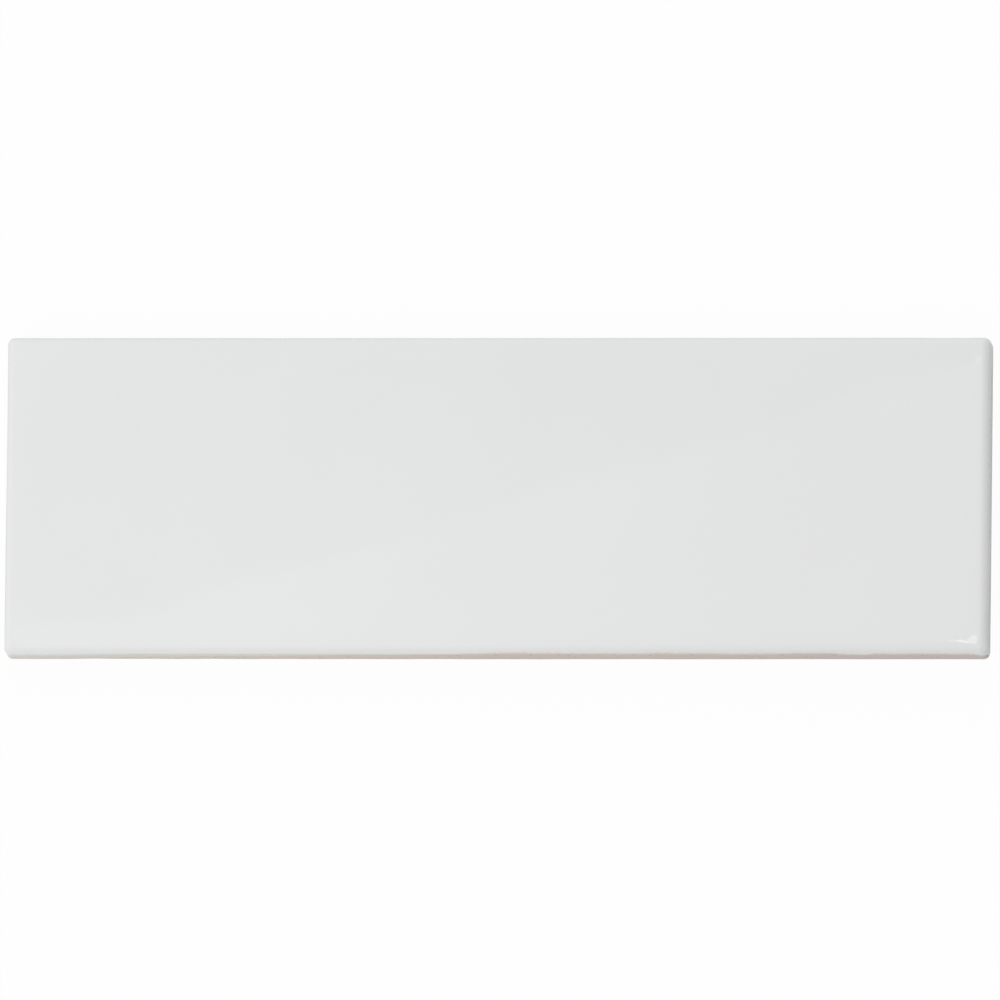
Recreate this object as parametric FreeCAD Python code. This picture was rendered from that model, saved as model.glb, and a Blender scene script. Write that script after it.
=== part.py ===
import FreeCAD, Part
import math
import os

# A subway wall tile: one pressed and fired piece, glazed on its face.
# It lies on its back. X runs along the tile, Y across it and Z up out of the glazed face.
# The origin is the middle of the bedding plane, the plane that the ribs and rim of the back stand on.

# The whole tile
tile_length = 200.0
tile_width = 65.0
tile_thickness = 8.0

# The face turns down in a roll all round, and the long sides' roll runs on down as the tile's corners
# The glazed end, which may show at an outer corner of the wall, has a wider one
edge_roll_radius = 1.4
glazed_end_extra_radius = 0.5
arris_chamfer = 0.5

# The keyed back: a grid of shallow pockets inside a flat rim, with ribs between them
# Both counts are even, so that two ribs cross in the middle of the back
pockets_along = 10
pockets_across = 4
rim_width = 6.0
rib_width = 2.2
pocket_depth = 0.8
pocket_slope_degrees = 55.0
pocket_corner_radius = 0.8

UP = FreeCAD.Vector(0, 0, 1)


def edges_centred_at(shape, x=None, y=None, z=None):
    """The shape's edges whose middles have the coordinates that are given."""
    found = []
    for edge in shape.Edges:
        middle = edge.CenterOfMass
        gaps = [m - given for m, given in zip(middle, (x, y, z)) if given is not None]
        if all(abs(gap) < 1e-6 for gap in gaps):
            found.append(edge)
    return found


def pressed_blank():
    """The outer form: upright walls, the rolled edges of the face and a chamfered arris at the back."""
    glazed_end = tile_length / 2
    long_side = tile_width / 2
    blank = Part.makeBox(
        tile_length, tile_width, tile_thickness, FreeCAD.Vector(-glazed_end, -long_side, 0)
    )
    rolls = (
        (edge_roll_radius + glazed_end_extra_radius, {"x": glazed_end}),
        (edge_roll_radius, {"x": -glazed_end}),
        (edge_roll_radius, {"y": long_side}),
        (edge_roll_radius, {"y": -long_side}),
    )
    for radius, place in rolls:
        blank = blank.makeFillet(radius, edges_centred_at(blank, z=tile_thickness, **place))
    return blank.makeChamfer(arris_chamfer, edges_centred_at(blank, z=0))


def rounded_rectangle(length, width, radius, height):
    """A level closed wire centred on the Z axis, with an arc at each corner."""
    x = length / 2 - radius
    y = width / 2 - radius
    corners = [(x, y, 0), (-x, y, 90), (-x, -y, 180), (x, -y, 270)]
    arcs = [
        Part.makeCircle(radius, FreeCAD.Vector(cx, cy, height), UP, start, start + 90)
        for cx, cy, start in corners
    ]
    edges = []
    for arc, following in zip(arcs, arcs[1:] + arcs[:1]):
        edges.append(arc)
        edges.append(Part.makeLine(arc.Vertexes[-1].Point, following.Vertexes[0].Point))
    return Part.Wire(edges)


def pocket_size(side, count):
    """One pocket's size along a side that holds a count of them, between the rim and the ribs."""
    return (side - 2 * rim_width - (count - 1) * rib_width) / count


def back_pockets():
    """The grid of slope-sided pockets that the bedding mortar keys into."""
    size_x = pocket_size(tile_length, pockets_along)
    size_y = pocket_size(tile_width, pockets_across)
    run = pocket_depth / math.tan(math.radians(pocket_slope_degrees))
    mouth = rounded_rectangle(size_x, size_y, pocket_corner_radius + run, 0)
    floor = rounded_rectangle(size_x - 2 * run, size_y - 2 * run, pocket_corner_radius, pocket_depth)
    pocket = Part.makeLoft([mouth, floor], True, True)
    placed = []
    for column in range(pockets_along):
        for row in range(pockets_across):
            x = (column - (pockets_along - 1) / 2) * (size_x + rib_width)
            y = (row - (pockets_across - 1) / 2) * (size_y + rib_width)
            placed.append(pocket.translated(FreeCAD.Vector(x, y, 0)))
    return Part.makeCompound(placed)


tile = pressed_blank().cut(back_pockets())
if not tile.isValid() or len(tile.Solids) != 1:
    raise ValueError("the tile is not one valid solid")

os.makedirs("parts", exist_ok=True)
tile.Solids[0].exportStep("parts/tile.step")
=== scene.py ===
"""A glazed subway wall tile, lying on its back on a pale studio floor.

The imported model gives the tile's place and size. This script works out the tile's visible surface
as one closed mesh, dresses it as gloss glaze over bare biscuit, and sets the light and the camera.
"""

from __future__ import annotations

import logging
import math
from dataclasses import dataclass, field
from enum import Enum
from typing import Any

import bpy
import numpy as np
from mathutils import Matrix, Vector


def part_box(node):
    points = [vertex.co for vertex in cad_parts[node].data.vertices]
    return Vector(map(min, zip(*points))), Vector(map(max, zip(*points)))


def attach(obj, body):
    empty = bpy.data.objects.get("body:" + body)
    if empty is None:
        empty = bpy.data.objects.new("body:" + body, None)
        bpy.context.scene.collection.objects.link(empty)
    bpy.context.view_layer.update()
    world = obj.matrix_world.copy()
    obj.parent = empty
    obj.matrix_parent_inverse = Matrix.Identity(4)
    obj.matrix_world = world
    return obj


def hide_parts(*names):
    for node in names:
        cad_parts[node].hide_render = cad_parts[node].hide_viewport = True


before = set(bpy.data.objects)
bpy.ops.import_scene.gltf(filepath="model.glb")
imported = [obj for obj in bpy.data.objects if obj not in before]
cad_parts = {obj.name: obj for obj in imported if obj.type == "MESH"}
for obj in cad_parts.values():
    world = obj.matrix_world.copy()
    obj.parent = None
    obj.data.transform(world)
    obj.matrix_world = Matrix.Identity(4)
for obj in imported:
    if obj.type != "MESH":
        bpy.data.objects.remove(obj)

MM = 0.001
TINY = 1e-9
RIGHT_ANGLE = math.pi / 2.0
LOG = logging.getLogger("tile")

Spot = tuple[float, float, float]
RGBA = tuple[float, float, float, float]

# Where an eased step starts, at 0, and where it ends, at 1
Span = tuple[float, float]

WHITE: RGBA = (1.0, 1.0, 1.0, 1.0)


class Side(Enum):
    """The tile's four sides, in the order in which its outline runs round them."""

    NEAR = 0
    GLAZED_END = 1
    FAR = 2
    BARE_END = 3


def smooth(values: np.ndarray, low: float, high: float) -> np.ndarray:
    """Eased step: 3 t squared less 2 t cubed, t being the value's place between low and high.

    Args:
        values: The values to ease.
        low: The value that gives 0.
        high: The value that gives 1.

    Returns:
        The eased values, from 0 to 1.
    """
    t = np.clip((values - low) / (high - low), 0.0, 1.0)
    return t * t * (3.0 - 2.0 * t)


@dataclass(frozen=True)
class Ripple:
    """Shallow waves in a surface: a sum of sines with seeded lengths, directions and phases."""

    height: float
    shortest: float
    longest: float
    seed: int
    count: int = 12

    def at(self, x: np.ndarray, y: np.ndarray) -> np.ndarray:
        """The waves' height: a weighted sum of sin(2 pi (x cos a + y sin a) / length + phase).

        A wave's weight is the root of its length, so that the long ones lead.

        Args:
            x: Places along the tile.
            y: Places across the tile.

        Returns:
            Heights of about plus or minus the ripple's height, shaped as x.
        """
        rng = np.random.default_rng(self.seed)
        length = np.exp(rng.uniform(np.log(self.shortest), np.log(self.longest), self.count))
        heading = rng.uniform(0.0, math.tau, self.count)
        phase = rng.uniform(0.0, math.tau, self.count)
        turns = (x[..., None] * np.cos(heading) + y[..., None] * np.sin(heading)) / length
        weight = np.sqrt(length / length.mean())
        waves = np.sin(math.tau * turns + phase) * weight
        usual_sum = math.sqrt(self.count / 2.0)
        return self.height * waves.sum(-1) / usual_sum / 2.0


@dataclass(frozen=True)
class EdgeSection:
    """The tile's edge in section: a roll, then an upright wall, then a small arris.

    A place on it is its distance down the surface from its foot, where the roll leaves the face.
    """

    thickness: float
    roll_radius: float = 1.4 * MM
    glazed_end_extra: float = 0.5 * MM
    arris: float = 0.5 * MM
    glaze_thickness: float = 0.14 * MM
    glaze_rise: float = 0.2 * MM
    bead_height: float = 0.05 * MM
    bead_place: float = 0.28 * MM
    bead_width: float = 0.22 * MM
    swell: float = 0.12 * MM
    swell_below: Span = (0.3 * MM, 1.6 * MM)

    @property
    def roll_end(self) -> float:
        """The height at which the long sides' roll ends."""
        return self.thickness - self.roll_radius

    def roll_length(self, extra: np.ndarray) -> np.ndarray:
        """The roll's length down the surface: its radius by a right angle."""
        return (self.roll_radius + extra) * RIGHT_ANGLE

    def length(self, extra: np.ndarray) -> np.ndarray:
        """The length of the roll and the wall down the surface."""
        return self.roll_length(extra) + self.roll_end - extra - self.arris

    def place(self, down: np.ndarray, bearing: np.ndarray,
              extra: np.ndarray) -> tuple[np.ndarray, np.ndarray]:
        """Places on the edge, and the surface's normals there.

        The roll is swept by a ball of its radius. The angle is down / (radius + extra), a right angle
        at most, and the normal is n = (bx sin angle, by sin angle, cos angle). A place is radius n
        plus the ball's swing round a wider end, extra (nx, 0, nz) / hypot(nx, nz). Past the roll it
        is straight down.

        Args:
            down: Distances down the surface.
            bearing: Each column's outward direction in plan.
            extra: How much wider each column's roll is than the long sides' roll.

        Returns:
            Places, with x and y measured from the column's foot, and normals.
        """
        depth = self.roll_radius + extra
        angle = np.minimum(down / depth, RIGHT_ANGLE)
        normal = np.column_stack([bearing * np.sin(angle)[:, None], np.cos(angle)])
        swing = extra / np.maximum(np.hypot(normal[:, 0], normal[:, 2]), TINY)
        spot = self.roll_radius * normal + swing[:, None] * normal * (1.0, 0.0, 1.0)
        spot[:, 2] += self.thickness - depth - (down - depth * angle)
        return spot, normal

    def down_to(self, height: np.ndarray, extra: np.ndarray) -> np.ndarray:
        """The distance down the surface to a height: an arc's length and then a straight line's.

        Args:
            height: Heights above the floor.
            extra: How much wider each column's roll is than the long sides' roll.

        Returns:
            Distances down the surface.
        """
        depth = self.roll_radius + extra
        centre = self.thickness - depth
        cosine = np.clip((height - centre) / depth, 0.0, 1.0)
        return depth * np.arccos(cosine) + np.maximum(centre - height, 0.0)

    def coat(self, above_line: np.ndarray) -> np.ndarray:
        """The glaze's thickness: nothing below its line, then a rounded bead that settles evenly.

        Args:
            above_line: Distances up the surface from the glaze line.

        Returns:
            Thicknesses, measured outward from the biscuit.
        """
        rise = np.sqrt(smooth(above_line, 0.0, self.glaze_rise))
        bead = np.exp(-(((above_line - self.bead_place) / self.bead_width) ** 2))
        return rise * (self.glaze_thickness + self.bead_height * bead)

    def inset(self, above_line: np.ndarray) -> np.ndarray:
        """How far the surface lies inside the pressed form.

        It is the glaze's thickness, less its coat and less the swell of a wide bare wall.

        Args:
            above_line: Distances up the surface from the glaze line.

        Returns:
            Distances inward.
        """
        swell = self.swell * smooth(-above_line, *self.swell_below)
        return self.glaze_thickness - self.coat(above_line) - swell


@dataclass(frozen=True)
class KeyedBack:
    """The back's grid of shallow, slope-sided pockets inside a flat rim."""

    length: float
    width: float
    along: int = 10
    across: int = 4
    rim: float = 6.0 * MM
    rib: float = 2.2 * MM
    depth: float = 0.8 * MM
    slope: float = math.radians(55.0)
    floor_radius: float = 0.8 * MM
    softness: float = 0.25
    mouth_lines_mm: tuple[float, ...] = (0.0, 0.14, 0.38)
    floor_lines_mm: tuple[float, ...] = (0.0, 0.12, 0.34, 0.6, 0.84)
    line_gap: float = 2.8 * MM
    rib_line: float = 0.12 * MM
    rim_line: float = 0.6 * MM
    rim_lines: int = 6

    @property
    def run(self) -> float:
        """How far a pocket's side slopes inward on its way to the floor."""
        return self.depth / math.tan(self.slope)

    def size(self, side: float, count: int) -> float:
        """One pocket's size along a side that holds a count of them."""
        return (side - 2.0 * self.rim - (count - 1) * self.rib) / count

    def half_lines(self, side: float, count: int, last: float) -> np.ndarray:
        """Grid lines from the middle outward, which follow the pockets' edges.

        Args:
            side: The tile's size that way.
            count: The pockets along it.
            last: The last line, where the edge's roll leaves the face.

        Returns:
            Places of the lines, rising.
        """
        size = self.size(side, count)
        turn = self.floor_radius + self.run
        mouth = np.array(self.mouth_lines_mm) * MM
        floor = self.run + np.array(self.floor_lines_mm) * MM
        inner = np.linspace(turn, size - turn, 2 + round(size / self.line_gap))[1:-1]
        pocket = np.concatenate([[-self.rib_line], mouth, floor, inner, size - floor[::-1],
                                 size - mouth[::-1], [size + self.rib_line]])
        starts = self.rib / 2.0 + np.arange(count // 2) * (size + self.rib)
        rim = np.linspace(side / 2.0 - self.rim + self.rim_line, last, self.rim_lines)
        return np.concatenate([[0.0], (starts[:, None] + pocket).ravel(), rim])

    def lines(self, side: float, count: int, first: float, last: float) -> np.ndarray:
        """All grid lines one way, from the first to the last."""
        below, above = self.half_lines(side, count, -first), self.half_lines(side, count, last)
        return np.concatenate([-below[:0:-1], above])

    def depth_at(self, x: np.ndarray, y: np.ndarray) -> np.ndarray:
        """The pockets' depth: a ramp on the distance inside a rounded rectangle, one in each cell.

        The ramp is straight, with a share of an eased one that rounds its two ends.

        Args:
            x: Places along the tile.
            y: Places across the tile.

        Returns:
            Depths, 0 on the ribs and the rim.
        """
        radius = self.floor_radius + self.run
        beyond, keyed = [], np.ones(x.shape, bool)
        for place, side, count in ((x, self.length, self.along), (y, self.width, self.across)):
            size = self.size(side, count)
            pitch = size + self.rib
            local = (place + count / 2.0 * pitch) % pitch - pitch / 2.0
            beyond.append(np.abs(local) - (size / 2.0 - radius))
            keyed &= np.abs(place) <= side / 2.0 - self.rim + TINY
        corner = np.hypot(np.maximum(beyond[0], 0.0), np.maximum(beyond[1], 0.0))
        inside = radius - corner - np.minimum(np.maximum(beyond[0], beyond[1]), 0.0)
        straight = np.clip(inside / self.run, 0.0, 1.0)
        eased = smooth(inside, 0.0, self.run)
        ramp = (1.0 - self.softness) * straight + self.softness * eased
        return np.where(keyed, self.depth * ramp, 0.0)


@dataclass(frozen=True)
class GlazeLine:
    """The height at which the glaze stops on each side, with waves and a few runs below it.

    A level is a share of the way along its side and a height in millimetres.
    """

    levels: dict[Side, tuple[tuple[float, float], ...]] = field(default_factory=lambda: {
        Side.NEAR: ((0.0, 0.8), (0.06, 0.9), (0.1, 1.6), (0.16, 3.0), (0.22, 3.6), (0.3, 4.5),
                    (0.4, 5.8), (0.5, 7.0), (0.8, 6.95), (0.985, 6.9)),
        Side.GLAZED_END: ((0.02, 0.8), (0.98, 0.8)),
        Side.FAR: ((0.02, 4.8), (0.5, 5.5), (0.98, 5.1)),
        Side.BARE_END: ((0.1, 4.9), (0.5, 4.2), (0.9, 2.6)),
    })
    wave: Ripple = Ripple(height=0.15 * MM, shortest=4.0 * MM, longest=40.0 * MM, seed=11)
    runs: int = 14
    run_depth: float = 0.7 * MM
    least_run: float = 0.3
    run_width: float = 1.6 * MM
    lowest: float = 0.75 * MM
    highest: float = 7.4 * MM
    seed: int = 5

    def heights(self, side: np.ndarray, share: np.ndarray, x: np.ndarray,
                y: np.ndarray) -> np.ndarray:
        """The line's height: levels joined by straight lines, plus waves, less bell-shaped runs.

        Args:
            side: Which side each place is on, as the value of a Side.
            share: How far along that side, from 0 to 1.
            x: Places along the tile.
            y: Places across the tile.

        Returns:
            Heights above the floor.
        """
        known = np.array([(one.value + at, level * MM) for one, levels in self.levels.items()
                          for at, level in levels])
        base = np.interp(side + share, known[:, 0], known[:, 1], period=len(Side))
        rng = np.random.default_rng(self.seed)
        start = rng.integers(0, len(x), self.runs)
        deep = rng.uniform(self.least_run, 1.0, self.runs) * self.run_depth
        away = np.hypot(x[:, None] - x[start], y[:, None] - y[start]) / self.run_width
        drops = (deep * np.exp(-away ** 2)).sum(1)
        return np.clip(base + self.wave.at(x, y) - drops, self.lowest, self.highest)


class SurfaceBuilder:
    """Gathers faces as index arrays, with a place in the bake map for each corner."""

    def __init__(self) -> None:
        """Starts with no faces."""
        self.corners: list[np.ndarray] = []
        self.places: list[np.ndarray] = []

    def add(self, corners: np.ndarray, places: np.ndarray) -> None:
        """Adds faces of one corner count.

        Args:
            corners: Vertex indices, a row for each face.
            places: Those corners' places in the bake map.
        """
        self.corners.append(corners)
        self.places.append(places)

    def band(self, upper: np.ndarray, lower: np.ndarray, upper_uv: np.ndarray,
             lower_uv: np.ndarray) -> None:
        """Joins two closed rows, with a triangle wherever one row stays on its vertex.

        Args:
            upper: Indices of the row nearer the face, one for each step round the outline.
            lower: Indices of the row nearer the back.
            upper_uv: Bake places of the upper row at each step's two ends.
            lower_uv: Bake places of the lower row at each step's two ends.
        """
        upper_next, lower_next = np.roll(upper, -1), np.roll(lower, -1)
        quads = np.stack([upper, lower, lower_next, upper_next], 1)
        places = np.stack([upper_uv[:, 0], lower_uv[:, 0], lower_uv[:, 1], upper_uv[:, 1]], 1)
        point_up, point_down = upper == upper_next, lower == lower_next
        whole = ~(point_up | point_down)
        self.add(quads[whole], places[whole])
        self.add(quads[point_up][:, :3], places[point_up][:, :3])
        self.add(quads[point_down][:, [0, 1, 3]], places[point_down][:, [0, 1, 3]])

    def mesh(self, name: str, points: np.ndarray) -> bpy.types.Mesh:
        """Makes the mesh.

        Args:
            name: The mesh's name.
            points: Vertex places, in metres.

        Returns:
            The mesh, smooth-shaded, with its bake map.
        """
        sizes = np.concatenate([np.full(len(c), c.shape[1]) for c in self.corners])
        corners = np.concatenate([c.ravel() for c in self.corners])
        places = np.concatenate([p.reshape(-1, 2) for p in self.places])
        mesh = bpy.data.meshes.new(name)
        mesh.vertices.add(len(points))
        mesh.vertices.foreach_set("co", points.ravel())
        mesh.loops.add(len(corners))
        mesh.loops.foreach_set("vertex_index", corners)
        mesh.polygons.add(len(sizes))
        mesh.polygons.foreach_set("loop_start", np.cumsum(sizes) - sizes)
        mesh.polygons.foreach_set("use_smooth", np.ones(len(sizes), bool))
        mesh.update(calc_edges=True)
        mesh.uv_layers.new(name="OFBake").data.foreach_set("uv", places.ravel())
        return mesh


class Outline:
    """The walk round the core rectangle, which lies inside the rolled edge.

    Each step has a core vertex, whose place is its foot, and an outward normal. On a side the normal
    is square to it. Round a corner the foot stays on the corner while the normal turns by equal
    angles. The wall is where the upright wall stands, measured from the foot, and the rim is the
    same place in the tile's own frame. A run is the length of the rim up to a step.
    """

    corner_turns = 16

    def __init__(self, lines_x: np.ndarray, lines_y: np.ndarray, section: EdgeSection) -> None:
        """Traces the outline of a grid.

        Args:
            lines_x: The grid's lines along the tile.
            lines_y: The grid's lines across the tile.
            section: The tile's edge in section.
        """
        self.grid = np.arange(len(lines_x) * len(lines_y)).reshape(len(lines_x), len(lines_y))
        x, y = np.meshgrid(lines_x, lines_y, indexing="ij")
        self.core_xy = np.stack([x.ravel(), y.ravel()], 1)
        sides = {Side.NEAR: self.grid[:, 0], Side.GLAZED_END: self.grid[-1, :],
                 Side.FAR: self.grid[::-1, -1], Side.BARE_END: self.grid[0, ::-1]}
        core, angle, side = [], [], []
        turn = np.arange(1, self.corner_turns) / self.corner_turns * RIGHT_ANGLE
        for one, indices in sides.items():
            facing = (one.value - Side.GLAZED_END.value) * RIGHT_ANGLE
            core += [indices, np.full(len(turn), indices[-1])]
            angle += [np.full(len(indices), facing), facing + turn]
            side += [np.full(len(indices), one.value), one.value + (turn > RIGHT_ANGLE / 2.0)]
        self.core = np.concatenate(core)
        self.side = np.concatenate(side) % len(Side)
        bearing = np.concatenate(angle)
        self.normal = np.stack([np.cos(bearing), np.sin(bearing)], 1)
        self.foot = self.core_xy[self.core]
        self.extra = np.where(self.normal[:, 0] > TINY, section.glazed_end_extra, 0.0)
        wall, _ = section.place(section.roll_length(self.extra), self.normal, self.extra)
        self.wall = wall[:, :2]
        self.rim = self.foot + self.wall
        self.step = np.linalg.norm(np.roll(self.rim, -1, axis=0) - self.rim, axis=1)
        self.run = np.concatenate([[0.0], np.cumsum(self.step)[:-1]])

    def shares(self, length: float, width: float) -> np.ndarray:
        """How far along its side each step lies.

        Args:
            length: The tile's length.
            width: The tile's width.

        Returns:
            Shares from 0 to 1.
        """
        long_side = np.isin(self.side, (Side.NEAR.value, Side.FAR.value))
        forward = np.isin(self.side, (Side.NEAR.value, Side.GLAZED_END.value))
        along = np.where(long_side, self.rim[:, 0] / length, self.rim[:, 1] / width)
        return np.clip(np.where(forward, 0.5 + along, 0.5 - along), 0.0, 1.0)


@dataclass(frozen=True)
class BakeMap:
    """Where the surface lies in the bake map, which is a square of unit size.

    The face grid is at the bottom and the back grid over it. Over them are the walls' strips: the
    near one, then the two ends' side by side, then the far one.
    """

    length: float
    width: float
    margin: float = 0.006

    @property
    def scale(self) -> float:
        """The map's size of one metre."""
        return (1.0 - 2.0 * self.margin) / self.length

    @property
    def grid_height(self) -> float:
        """The map's size of the tile's width."""
        return self.width * self.scale

    def grid_places(self, order: int, x: np.ndarray, y: np.ndarray) -> np.ndarray:
        """Bake places of points on one of the two grids.

        Args:
            order: 0 for the face grid, 1 for the back grid.
            x: Places along the tile.
            y: Places across the tile.

        Returns:
            Two numbers for each point.
        """
        middle = self.margin + self.grid_height / 2.0 + order * (self.margin + self.grid_height)
        return np.stack([0.5 + x * self.scale, middle + y * self.scale], -1)

    def strip_places(self, outline: Outline, drops: np.ndarray) -> np.ndarray:
        """Bake places of the edge's rows, whose lengths run along the map.

        The near side's first steps, round its corner, are the outline's last ones.

        Args:
            outline: The walk round the tile.
            drops: How far down the surface each row lies.

        Returns:
            For each row and step, two numbers for each of the step's two ends.
        """
        side, run, step = outline.side, outline.run, outline.step
        low = 3.0 * self.margin + 2.0 * self.grid_height
        tall = self.margin + drops[-1] * self.scale
        beside = 3.0 * self.margin + self.grid_height
        corners = np.array([[self.margin, low], [self.margin, low + tall],
                            [self.margin, low + 2.0 * tall], [beside, low + tall]])
        near = side == Side.NEAR.value
        starts = np.array([run[side == one.value].min() for one in Side])
        starts[Side.NEAR.value] = run[np.flatnonzero(~near)[-1]] - run[-1]
        lapped = near & (run > run[-1] / 2.0)
        begin = starts[side] + np.where(lapped, run[-1] + step[-1], 0.0)
        ends = np.stack([run, run + step], 1) - begin[:, None]
        across = ends * self.scale + corners[side, 0][:, None]
        up = corners[side, 1] + drops[:, None] * self.scale
        return np.stack(np.broadcast_arrays(across, up[:, :, None]), -1)


class ShaderTree:
    """A material's or the world's nodes, made one at a time."""

    def __init__(self, owner: Any) -> None:
        """Takes the owner's tree and empties it.

        Args:
            owner: A material or a world.
        """
        owner.use_nodes = True
        self.tree = owner.node_tree
        self.tree.nodes.clear()

    def node(self, kind: str, settings: dict[str, Any] | None = None,
             inputs: dict[str | int, Any] | None = None) -> bpy.types.Node:
        """Makes one node.

        Args:
            kind: Blender's type name of the node.
            settings: Properties, which are set first.
            inputs: A plain value, a socket or a Value for each named input.

        Returns:
            The node.
        """
        made = self.tree.nodes.new(kind)
        for name, setting in (settings or {}).items():
            setattr(made, name, setting)
        for name, given in (inputs or {}).items():
            socket = given.socket if isinstance(given, Value) else given
            if isinstance(socket, bpy.types.NodeSocket):
                self.tree.links.new(socket, made.inputs[name])
            else:
                made.inputs[name].default_value = socket
        return made

    def value(self, kind: str, settings: dict[str, Any] | None = None,
              inputs: dict[str | int, Any] | None = None, output: str | int = 0) -> Value:
        """Makes one node and wraps the output that is named."""
        return Value(self, self.node(kind, settings, inputs).outputs[output])

    def noise(self, where: Value, grain: float, detail: float = 2.0) -> Value:
        """Noise about 0.5, its grain a size in metres."""
        return self.value("ShaderNodeTexNoise", None,
                          {"Vector": where, "Scale": 1.0 / grain, "Detail": detail})

    def flecks(self, where: Value, cell: float, edge: Span, empty: float,
               dimensions: str = "3D") -> Value:
        """Round flecks: 1 inside one, 0 outside.

        Args:
            where: Object coordinates.
            cell: The usual distance between the flecks' places, in metres.
            edge: How far from its place a fleck starts and where it is whole, as shares of a cell.
            empty: The share of the places that stay without a fleck.
            dimensions: "3D", or "2D" for flecks that go straight down.

        Returns:
            The flecks.
        """
        cells = self.node("ShaderNodeTexVoronoi", {"voronoi_dimensions": dimensions},
                          {"Vector": where, "Scale": 1.0 / cell})
        near = self.eased(Value(self, cells.outputs["Distance"]), *edge)
        kept = self.value("ShaderNodeSeparateColor", None, {0: cells.outputs["Color"]}) > empty
        return near * kept

    def eased(self, value: Value, low: float, high: float) -> Value:
        """An eased step from 0 at low to 1 at high."""
        return self.value("ShaderNodeMapRange", {"interpolation_type": "SMOOTHSTEP"},
                          {"Value": value, "From Min": low, "From Max": high})

    def blend(self, share: Value | float, first: Any, second: Any) -> Value:
        """A mix of two colours, all second where the share is 1."""
        return self.value("ShaderNodeMix", {"data_type": "RGBA"}, {0: share, 6: first, 7: second}, 2)


class Value:
    """A number on an output socket. Python's operators add Math nodes to its tree."""

    def __init__(self, tree: ShaderTree, socket: bpy.types.NodeSocket) -> None:
        """Wraps a socket of a tree."""
        self.tree = tree
        self.socket = socket

    def math(self, operation: str, first: Any, second: Any) -> Value:
        """Adds one Math node on two numbers."""
        return self.tree.value("ShaderNodeMath", {"operation": operation}, {0: first, 1: second})

    def __add__(self, other: Value | float) -> Value:
        """The sum."""
        return self.math("ADD", self, other)

    __radd__ = __add__

    def __sub__(self, other: Value | float) -> Value:
        """The difference."""
        return self.math("SUBTRACT", self, other)

    def __rsub__(self, other: float) -> Value:
        """The difference from a plain number."""
        return self.math("SUBTRACT", other, self)

    def __mul__(self, other: Value | float) -> Value:
        """The product."""
        return self.math("MULTIPLY", self, other)

    __rmul__ = __mul__

    def __gt__(self, other: float) -> Value:
        """1 where the number is greater, else 0."""
        return self.math("GREATER_THAN", self, other)

    def atmost(self, limit: float) -> Value:
        """The number, or the limit if that is less."""
        return self.math("MINIMUM", self, limit)


@dataclass(frozen=True)
class GlossGlaze:
    """The white tin-opaque glaze: clouded a little, thin and warm at its line, with rare specks."""

    white: RGBA = (0.783, 0.790, 0.788, 1.0)
    clouded: RGBA = (0.777, 0.783, 0.782, 1.0)
    # The colour of thin glaze at its line, also used as painted shade low on the walls towards the bare
    # end
    thin_glaze_and_shade: RGBA = (0.614, 0.557, 0.444, 1.0)
    speck: RGBA = (0.50, 0.42, 0.33, 1.0)
    cloud_size: float = 38.0 * MM
    cloud_levels: Span = (0.35, 0.65)
    thin_reach_mm: float = 1.0
    # Painted shade, partly drained glaze: how much and where the glaze darkens low on the walls towards
    # the bare end, and from the roll down at that end's corner
    drained_and_shade_share: float = 0.6
    drained_and_shade_along: Span = (40.0 * MM, -30.0 * MM)
    drained_and_shade_heights: Span = (7.3 * MM, 6.7 * MM)
    foot_shade_along: Span = (-72.0 * MM, -92.0 * MM)
    foot_shade_heights: Span = (7.9 * MM, 2.5 * MM)
    speck_cell: float = 21.0 * MM
    speck_edge: Span = (0.0112, 0.0042)
    speck_empty: float = 0.62
    speck_heights: Span = (7.2 * MM, 7.7 * MM)
    speck_share: float = 0.1
    roughness: float = 0.022
    peel_size: float = 1.6 * MM
    peel_share: float = 0.012

    def colour(self, tree: ShaderTree, where: Value, along: Value, height: Value,
               above_line: Value) -> Value:
        """The glaze's colour.

        It is thin just above its line. Low on the walls towards the bare end it is darker, partly
        as glaze that drained off and partly as painted shade, and at that end's corner painted shade
        reaches slowly from the roll down. The specks are on the face.

        Args:
            tree: The material's nodes.
            where: Object coordinates.
            along: Metres towards the glazed end.
            height: Metres above the floor.
            above_line: Millimetres above the glaze line.

        Returns:
            The colour.
        """
        cloud = tree.eased(tree.noise(where, self.cloud_size), *self.cloud_levels)
        body = tree.blend(cloud, self.white, self.clouded)
        specks = tree.flecks(where, self.speck_cell, self.speck_edge, self.speck_empty, "2D")
        face = tree.eased(height, *self.speck_heights)
        speckled = tree.blend(specks * face * self.speck_share, body, self.speck)
        thinning = 1.0 - tree.eased(above_line, 0.0, self.thin_reach_mm)
        # Painted shade: low on the walls towards the bare end the glaze is darkened towards the thin
        # glaze's colour, partly as drained glaze, and at that end's corner from the roll down
        corner = tree.eased(along, *self.foot_shade_along)
        below = (tree.eased(height, *self.drained_and_shade_heights) * (1.0 - corner)
                 + tree.eased(height, *self.foot_shade_heights) * corner)
        drained_and_shaded = below * tree.eased(along, *self.drained_and_shade_along) * self.drained_and_shade_share
        return tree.blend(thinning + drained_and_shaded, speckled, self.thin_glaze_and_shade)


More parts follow.
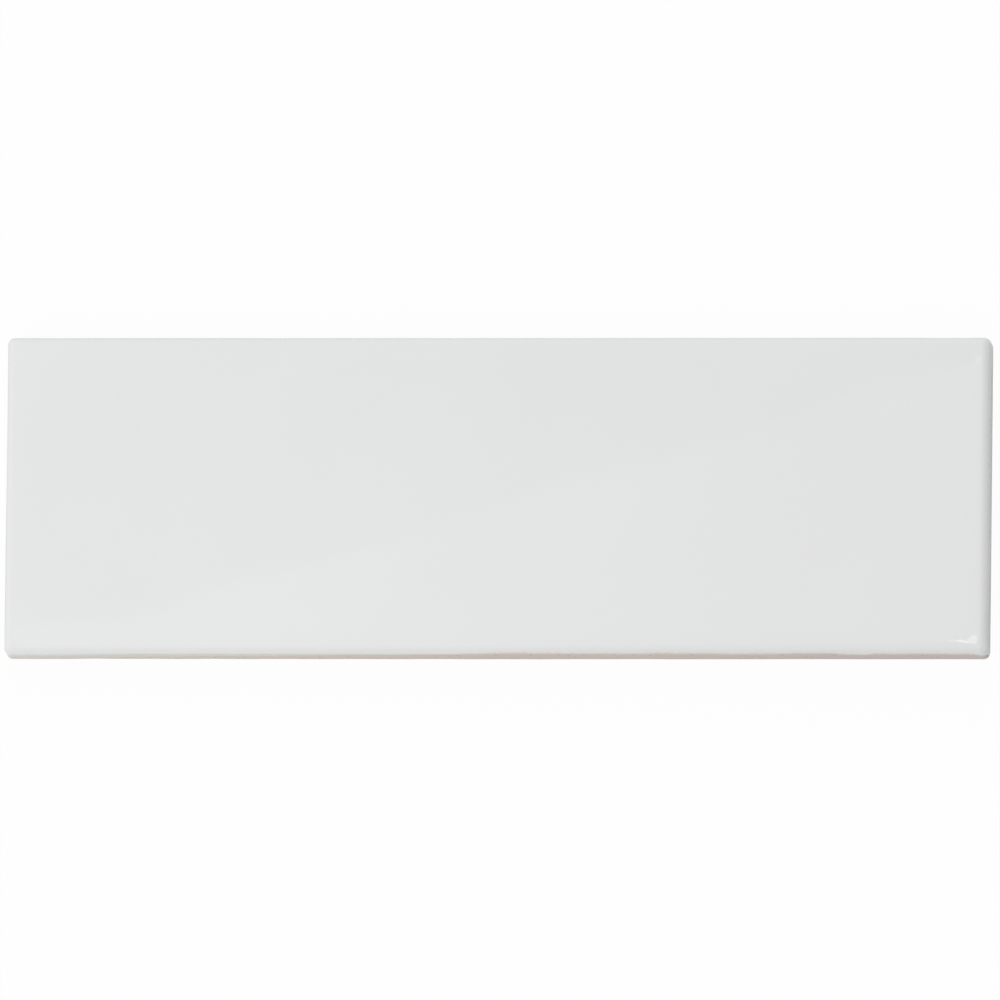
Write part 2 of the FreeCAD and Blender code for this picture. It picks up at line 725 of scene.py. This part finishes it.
@dataclass(frozen=True)
class Biscuit:
    """The bare pressed body: warm grey clay with fine grain, grog and a chalky wash on the ribs.

    It is buff and lighter at the bare end, and greyer and darker towards the glazed one.
    """

    clay: RGBA = (0.672, 0.583, 0.502, 1.0)
    pale: RGBA = (0.69, 0.635, 0.595, 1.0)
    rosy: RGBA = (0.67, 0.562, 0.502, 1.0)
    buff: RGBA = (0.713, 0.638, 0.556, 1.0)
    ashen: RGBA = (0.63, 0.548, 0.545, 1.0)
    grog: RGBA = (0.36, 0.27, 0.20, 1.0)
    wash: RGBA = (0.80, 0.78, 0.74, 1.0)
    patch_size: float = 9.0 * MM
    patch_levels: Span = (0.35, 0.65)
    buff_along: Span = (10.0 * MM, -70.0 * MM)
    ashen_along: Span = (45.0 * MM, 85.0 * MM)
    grain_size: float = 0.35 * MM
    grain_levels: Span = (0.3, 0.75)
    grain_share: float = 0.6
    grog_cell: float = 1.5 * MM
    grog_edge: Span = (0.24, 0.12)
    grog_empty: float = 0.55
    grog_share: float = 0.6
    wash_heights: Span = (0.12 * MM, 0.02 * MM)
    wash_size: float = 3.0 * MM
    wash_levels: Span = (0.38, 0.62)
    wash_share: float = 0.6
    relief_size: float = 0.245 * MM
    pore_size: float = 0.8 * MM
    pore_levels: Span = (0.36, 0.27)
    pore_depth: float = 0.6
    roughness: float = 0.86

    def colour(self, tree: ShaderTree, where: Value, along: Value, height: Value) -> Value:
        """The body's colour.

        Args:
            tree: The material's nodes.
            where: Object coordinates.
            along: Metres towards the glazed end.
            height: Metres above the floor.

        Returns:
            The colour.
        """
        patch = tree.eased(tree.noise(where, self.patch_size, detail=3.0), *self.patch_levels)
        grain = tree.eased(tree.noise(where, self.grain_size, detail=4.0), *self.grain_levels)
        patched = tree.blend(patch, self.clay, self.rosy)
        bare_end = tree.blend(tree.eased(along, *self.buff_along), patched, self.buff)
        end_toned = tree.blend(tree.eased(along, *self.ashen_along), bare_end, self.ashen)
        body = tree.blend(grain * self.grain_share, end_toned, self.pale)
        flecks = tree.flecks(where, self.grog_cell, self.grog_edge, self.grog_empty)
        grogged = tree.blend(flecks * self.grog_share, body, self.grog)
        on_rib = tree.eased(height, *self.wash_heights)
        worn = tree.eased(tree.noise(where, self.wash_size, detail=5.0), *self.wash_levels)
        return tree.blend(on_rib * worn * self.wash_share, grogged, self.wash)

    def relief(self, tree: ShaderTree, where: Value) -> Value:
        """The body's fine height, from 0 to about 1: grain less pores."""
        pores = tree.eased(tree.noise(where, self.pore_size, detail=1.0), *self.pore_levels)
        return tree.noise(where, self.relief_size, detail=5.0) - pores * self.pore_depth


@dataclass(frozen=True)
class TileFinish:
    """Glaze above its line and biscuit below it, in one material."""

    glaze: GlossGlaze = GlossGlaze()
    biscuit: Biscuit = Biscuit()
    line_width_mm: float = 0.07
    ragged_size: float = 0.9 * MM
    ragged_mm: float = 0.22
    smudge_size: float = 14.0 * MM
    smudge_share: float = 0.03
    relief_height: float = 0.05 * MM
    ior: float = 1.52

    def material(self) -> bpy.types.Material:
        """Makes the material, which reads Object coordinates and the height above the glaze line.

        Returns:
            The material.
        """
        made = bpy.data.materials.new("glaze_over_biscuit")
        tree = ShaderTree(made)
        where = tree.value("ShaderNodeTexCoord", output="Object")
        along = tree.value("ShaderNodeSeparateXYZ", None, {0: where}, "X")
        height = tree.value("ShaderNodeSeparateXYZ", None, {0: where}, "Z")
        stored = tree.value("ShaderNodeAttribute", {"attribute_name": WallTile.LINE_ATTRIBUTE},
                            output="Fac")
        ragged = (tree.noise(where, self.ragged_size, detail=3.0) - 0.5) * (2.0 * self.ragged_mm)
        above_line = stored + ragged
        glazed = tree.eased(above_line, 0.0, self.line_width_mm)
        bare = 1.0 - glazed
        colour = tree.blend(glazed, self.biscuit.colour(tree, where, along, height),
                            self.glaze.colour(tree, where, along, height, above_line))
        smudge = tree.noise(where, self.smudge_size, detail=3.0) * self.smudge_share
        roughness = (smudge + self.glaze.roughness) * glazed + bare * self.biscuit.roughness
        peel = tree.noise(where, self.glaze.peel_size, detail=1.0) * self.glaze.peel_share
        relief = peel * glazed + self.biscuit.relief(tree, where) * bare
        bump = tree.node("ShaderNodeBump", None, {"Height": relief, "Distance": self.relief_height})
        shader = tree.node("ShaderNodeBsdfPrincipled", None, {
            "Base Color": colour, "Roughness": roughness, "IOR": self.ior,
            "Normal": bump.outputs["Normal"]})
        tree.node("ShaderNodeOutputMaterial", None, {"Surface": shader.outputs["BSDF"]})
        return made


class WallTile:
    """The whole tile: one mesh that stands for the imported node."""

    NODE = "tile"
    LINE_ATTRIBUTE = "above_glaze_line_mm"

    # The edge's rows, of which the roll's take at most a share of the way to those at the glaze line
    roll_steps = 14
    wall_steps = 9
    longest_roll = 0.7
    line_rows_mm = (0.42, 0.32, 0.24, 0.17, 0.11, 0.06, 0.025, 0.0, -0.03, -0.09, -0.2)
    spread_power = 1.5
    last_gap = 0.05 * MM
    arris_rows = ((0.0, 1.0), (0.12, 0.88), (0.84, 0.16), (1.0, 0.0), (1.2, 0.0))
    rim_rows = (0.6, 0.3)

    # What the line attribute says all over the face and the back
    face_above_mm = 8.0
    back_above_mm = -4.0

    # The edge's long waves are lowered by so many of their heights, so that few of them stand out
    edge_lowering = 1.2
    grit_mm = 0.025
    grit_reach = 0.1 * MM
    grit_seed = 21
    pillow_reach = 7.5 * MM
    pillow_depth = {Side.NEAR: 0.44 * MM, Side.GLAZED_END: 0.16 * MM, Side.FAR: 0.14 * MM,
                    Side.BARE_END: 0.12 * MM}

    def __init__(self) -> None:
        """Takes the tile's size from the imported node."""
        low, high = (np.array(corner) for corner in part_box(self.NODE))
        self.size = high - low
        length, width, thickness = (float(side) for side in self.size)
        self.section = EdgeSection(thickness)
        self.back = KeyedBack(length, width)
        self.bake_map = BakeMap(length, width)
        self.ripple = Ripple(height=0.006 * MM, shortest=22.0 * MM, longest=90.0 * MM, seed=3)
        self.edge_ripple = Ripple(height=0.03 * MM, shortest=9.0 * MM, longest=50.0 * MM, seed=7)
        end, side = self.size[:2] / 2.0 - self.section.roll_radius
        lines_x = self.back.lines(length, self.back.along, -end, end - self.section.glazed_end_extra)
        lines_y = self.back.lines(width, self.back.across, -side, side)
        self.outline = Outline(lines_x, lines_y, self.section)
        shares = self.outline.shares(length, width)
        self.line = GlazeLine().heights(self.outline.side, shares, *self.outline.rim.T)

    def rows(self) -> list[tuple[np.ndarray, np.ndarray]]:
        """The edge's rows from the face to the back.

        Rows run evenly down the roll and on to the glaze line, crowd round the line, and spread out
        from there to the arris. An arris row is given by its shares of the arris inward and up, and
        a rim row by its share of the way back out from the foot.

        Returns:
            For each row its places, with x and y measured from the foot, and its distances above the
            line.
        """
        section, outline = self.section, self.outline
        line = section.down_to(self.line, outline.extra)
        arris = section.length(outline.extra)
        near = np.array(self.line_rows_mm) * MM
        start, end, last = line - near[0], line - near[-1], arris - self.last_gap
        bend = np.minimum(section.roll_length(outline.extra), self.longest_roll * start)
        rolled = np.linspace(0.0, 1.0, self.roll_steps + 1)[1:]
        upright = np.linspace(0.0, 1.0, self.wall_steps + 1)[1:]
        downs = [bend * share for share in rolled]
        downs += [bend + (start - bend) * share for share in upright[:-1]]
        downs += [line - offset for offset in near]
        downs += [end + (last - end) * share ** self.spread_power for share in upright]
        rows = []
        for down in downs:
            spot, normal = section.place(down, outline.normal, outline.extra)
            inset = section.inset(line - down)[:, None]
            rows.append((spot - inset * normal, line - down))
        for inward, up in self.arris_rows:
            plan = outline.wall - outline.normal * (inset + inward * section.arris)
            rows.append((np.column_stack([plan, np.full(len(line), up * section.arris)]), line - arris))
        rows += [(rows[-1][0] * share, line - arris) for share in self.rim_rows]
        return rows

    def glaze_drop(self, x: np.ndarray, y: np.ndarray, height: np.ndarray) -> np.ndarray:
        """How far the glazed surface lies under the pressed form.

        Near an edge the face falls as that side's depth by (1 - distance / reach) cubed, so that it
        is pillowed. Slow ripples lie over all of it. Both fade down the roll.

        Args:
            x: Places along the tile.
            y: Places across the tile.
            height: Heights above the floor.

        Returns:
            Distances down, none under 0.
        """
        inward = {Side.NEAR: self.size[1] / 2.0 + y, Side.GLAZED_END: self.size[0] / 2.0 - x,
                  Side.FAR: self.size[1] / 2.0 - y, Side.BARE_END: self.size[0] / 2.0 + x}
        fall = sum(depth * np.clip(1.0 - inward[side] / self.pillow_reach, 0.0, 1.0) ** 3
                   for side, depth in self.pillow_depth.items())
        sway = np.maximum(2.0 * self.ripple.height + self.ripple.at(x, y), 0.0)
        return (fall + sway) * smooth(height, self.section.roll_end, self.section.thickness)

    def build(self) -> bpy.types.Object:
        """Works out the surface and makes the object.

        The edge's long waves only ever hollow it, and the biscuit below the line has a little grit.

        Returns:
            The tile.
        """
        outline = self.outline
        core_x, core_y = outline.core_xy.T
        top = np.full(len(core_x), self.section.thickness)
        face = np.stack([core_x, core_y, top - self.glaze_drop(core_x, core_y, top)], 1)
        underside = np.stack([core_x, core_y, self.back.depth_at(core_x, core_y)], 1)
        points = [face, underside]
        above_mm = [np.full(len(face), self.face_above_mm), np.full(len(face), self.back_above_mm)]
        rings = [outline.core]
        rng = np.random.default_rng(self.grit_seed)
        for offset, above in self.rows():
            spot, height = outline.foot + offset[:, :2], offset[:, 2]
            waves = self.edge_ripple.at(spot[:, 0], spot[:, 1])
            waves -= self.edge_lowering * self.edge_ripple.height
            waves *= smooth(height, self.section.thickness, self.section.roll_end)
            grit = rng.uniform(-self.grit_mm, 0.0, len(height)) * MM
            grit *= smooth(-above, 0.0, self.grit_reach)
            spot += outline.normal * (np.minimum(waves, 0.0) + grit)[:, None]
            spot = np.clip(spot, -self.size[:2] / 2.0, self.size[:2] / 2.0)
            drop = self.glaze_drop(spot[:, 0], spot[:, 1], height)
            rings.append(sum(len(p) for p in points) + np.arange(len(height)))
            points.append(np.column_stack([spot, height - drop]))
            above_mm.append(above / MM)
        rings.append(outline.core + len(face))
        mesh = self.skin(np.concatenate(points), rings)
        line = mesh.attributes.new(self.LINE_ATTRIBUTE, "FLOAT", "POINT")
        line.data.foreach_set("value", np.concatenate(above_mm))
        tile = bpy.data.objects.new("wall_tile", mesh)
        bpy.context.scene.collection.objects.link(tile)
        return tile

    def skin(self, points: np.ndarray, rings: list[np.ndarray]) -> bpy.types.Mesh:
        """Joins the face grid, the rows of the edge and the back grid into one closed surface.

        Args:
            points: All vertices.
            rings: Vertex indices of each row, from the face grid's rim to the back grid's.

        Returns:
            The mesh.
        """
        builder = SurfaceBuilder()
        grid = self.outline.grid
        cells = (grid[:-1, :-1], grid[1:, :-1], grid[1:, 1:], grid[:-1, 1:])
        quads = np.stack(cells, -1).reshape(-1, 4)
        for order, corners in enumerate((quads, quads[:, ::-1] + grid.size)):
            x, y = points[corners, 0], points[corners, 1]
            builder.add(corners, self.bake_map.grid_places(order, x, y))
        drops = [0.0]
        for upper, lower in zip(rings[:-1], rings[1:]):
            drops.append(drops[-1] + np.linalg.norm(points[upper] - points[lower], axis=1).max())
        places = self.bake_map.strip_places(self.outline, np.array(drops))
        for upper, lower, upper_uv, lower_uv in zip(rings[:-1], rings[1:], places[:-1], places[1:]):
            builder.band(upper, lower, upper_uv, lower_uv)
        return builder.mesh("wall_tile", points)

    def dress(self, tile: bpy.types.Object) -> None:
        """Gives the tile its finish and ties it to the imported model.

        Args:
            tile: The tile's object.
        """
        tile.data.materials.append(TileFinish().material())
        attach(tile, "root")
        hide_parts(self.NODE)


@dataclass(frozen=True)
class SoftPanel:
    """A soft rectangular lamp, given by what it aims at and how bright its surface looks."""

    name: str
    place: Spot
    width: float
    height: float
    radiance: float
    aim: Spot = (0.0, 0.0, 0.0)
    turn: float = 0.0
    mirrored: bool = True

    @classmethod
    def overhead(cls, name: str, place: Spot, width: float, height: float, radiance: float,
                 degrees: float = 0.0) -> SoftPanel:
        """A panel that faces straight down, turned by some degrees."""
        below = (place[0], place[1], 0.0)
        return cls(name, place, width, height, radiance, below, math.radians(degrees))

    def build(self) -> None:
        """Makes the lamp. Its power is pi times its area times its radiance."""
        lamp = bpy.data.lights.new(self.name, "AREA")
        lamp.shape = "RECTANGLE"
        lamp.size = self.width
        lamp.size_y = self.height
        lamp.energy = math.pi * self.width * self.height * self.radiance
        holder = bpy.data.objects.new(self.name, lamp)
        facing = (Vector(self.place) - Vector(self.aim)).normalized().to_track_quat("Z", "Y")
        holder.matrix_world = (Matrix.Translation(Vector(self.place)) @ facing.to_matrix().to_4x4()
                               @ Matrix.Rotation(self.turn, 4, "Z"))
        holder.visible_camera = False
        holder.visible_glossy = self.mirrored
        bpy.context.scene.collection.objects.link(holder)


class Studio:
    """The pale floor, the soft light and the camera."""

    floor_size = 60.0
    floor_colour = (0.78, 0.78, 0.78, 1.0)
    floor_seen = 0.96
    floor_mirrored = 0.12
    ambient = 0.525
    lens = 1200.0
    sensor = 36.0
    farthest = 1000.0
    framed_width = 202.75 * MM
    tilt = math.radians(8.5)
    yaw = math.radians(4.5)
    off_centre = (0.29 * MM, -0.34 * MM)

    panels = (
        SoftPanel("far_softbox", (0.0, 1.39, 0.98), 0.9, 0.9, 3.91, mirrored=False),
        SoftPanel("near_softbox", (-0.985, -0.985, 0.98), 0.9, 0.9, 2.70, mirrored=False),
        SoftPanel("near_fill", (-0.273, -0.273, 0.46), 0.3, 0.3, 1.88, mirrored=False),
        SoftPanel.overhead("ceiling_card", (-0.012, 0.0137, 0.6), 0.36, 0.16, 0.37, 17.0),
        SoftPanel.overhead("window_card", (-0.0953, 0.0562, 0.6), 0.058, 0.03, 0.6, 17.0),
        SoftPanel.overhead("corner_glint_tail", (0.018, -0.033, 1.508), 0.052, 0.024, 3.6, -50.0),
        SoftPanel.overhead("corner_glint", (0.078, -0.008, 1.508), 0.084, 0.145, 2.0, -16.0),
        SoftPanel.overhead("edge_glint", (0.108, 0.285, 1.508), 0.09, 0.016, 1.3),
    )

    def seen(self, tree: ShaderTree, mirrored: float) -> Value:
        """How much of plain white a ray meets, in place of what lights the tile.

        Args:
            tree: A material's or the world's nodes.
            mirrored: How much a ray off gloss or through glass meets.

        Returns:
            1 for camera rays, the share that is given for those, and 0 for all others.
        """
        path = tree.node("ShaderNodeLightPath")
        camera, glossy, glass = (Value(tree, path.outputs[f"Is {kind} Ray"])
                                 for kind in ("Camera", "Glossy", "Transmission"))
        return (camera + (glossy + glass) * mirrored).atmost(1.0)

    def build_floor(self) -> None:
        """Lays a floor that looks almost plain white, so that the tile's shadow on it is faint."""
        half = self.floor_size / 2.0
        mesh = bpy.data.meshes.new("floor")
        corners = [(-half, -half, 0.0), (half, -half, 0.0), (half, half, 0.0), (-half, half, 0.0)]
        mesh.from_pydata(corners, [], [(0, 1, 2, 3)])
        floor = bpy.data.objects.new("floor", mesh)
        bpy.context.scene.collection.objects.link(floor)
        material = bpy.data.materials.new("pale_floor")
        tree = ShaderTree(material)
        matt = tree.node("ShaderNodeBsdfDiffuse", None, {"Color": self.floor_colour})
        white = tree.node("ShaderNodeEmission", None, {"Color": WHITE, "Strength": 1.0})
        share = self.seen(tree, self.floor_mirrored / self.floor_seen) * self.floor_seen
        mixed = tree.node("ShaderNodeMixShader", None,
                          {0: share, 1: matt.outputs[0], 2: white.outputs[0]})
        tree.node("ShaderNodeOutputMaterial", None, {"Surface": mixed.outputs[0]})
        mesh.materials.append(material)

    def build_world(self) -> None:
        """Sets a pale surround that lights softly and is seen and mirrored as white."""
        world = bpy.data.worlds.new("surround")
        tree = ShaderTree(world)
        soft = tree.node("ShaderNodeBackground", None, {"Color": WHITE, "Strength": self.ambient})
        white = tree.node("ShaderNodeBackground", None, {"Color": WHITE, "Strength": 1.0})
        mixed = tree.node("ShaderNodeMixShader", None,
                          {0: self.seen(tree, 1.0), 1: soft.outputs[0], 2: white.outputs[0]})
        tree.node("ShaderNodeOutputWorld", None, {"Surface": mixed.outputs[0]})
        bpy.context.scene.world = world

    def build_camera(self, centre: Vector) -> None:
        """Looks down on the tile, tilted towards its near side and turned a little to its glazed end.

        Args:
            centre: The middle of the tile, which is near the middle of the picture.
        """
        toward = Vector((math.sin(self.yaw), -math.sin(self.tilt), math.cos(self.tilt))).normalized()
        right = (Vector((1.0, 0.0, 0.0)) - toward.x * toward).normalized()
        up = toward.cross(right)
        camera = bpy.data.cameras.new("camera")
        camera.lens = self.lens
        camera.sensor_width = self.sensor
        camera.clip_end = self.farthest
        holder = bpy.data.objects.new("camera", camera)
        aim = centre + right * self.off_centre[0] + up * self.off_centre[1]
        place = aim + toward * (self.lens * self.framed_width / self.sensor)
        turn = Matrix((right, up, toward)).transposed()
        holder.matrix_world = Matrix.Translation(place) @ turn.to_4x4()
        bpy.context.scene.collection.objects.link(holder)
        bpy.context.scene.camera = holder

    def build(self, centre: Vector) -> None:
        """Builds all of the studio round the tile.

        Args:
            centre: The middle of the tile.
        """
        self.build_floor()
        self.build_world()
        for panel in self.panels:
            panel.build()
        self.build_camera(centre)
        bpy.context.scene.view_settings.view_transform = "Standard"


def main() -> None:
    """Builds the tile and the studio."""
    logging.basicConfig(level=logging.INFO, format="%(message)s")
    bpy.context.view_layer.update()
    tile_maker = WallTile()
    tile = tile_maker.build()
    tile_maker.dress(tile)
    LOG.info("%s: %d vertices, %d faces", tile.name, len(tile.data.vertices), len(tile.data.polygons))
    Studio().build(Vector((0.0, 0.0, tile_maker.section.thickness / 2.0)))


if __name__ == "__main__":
    main()
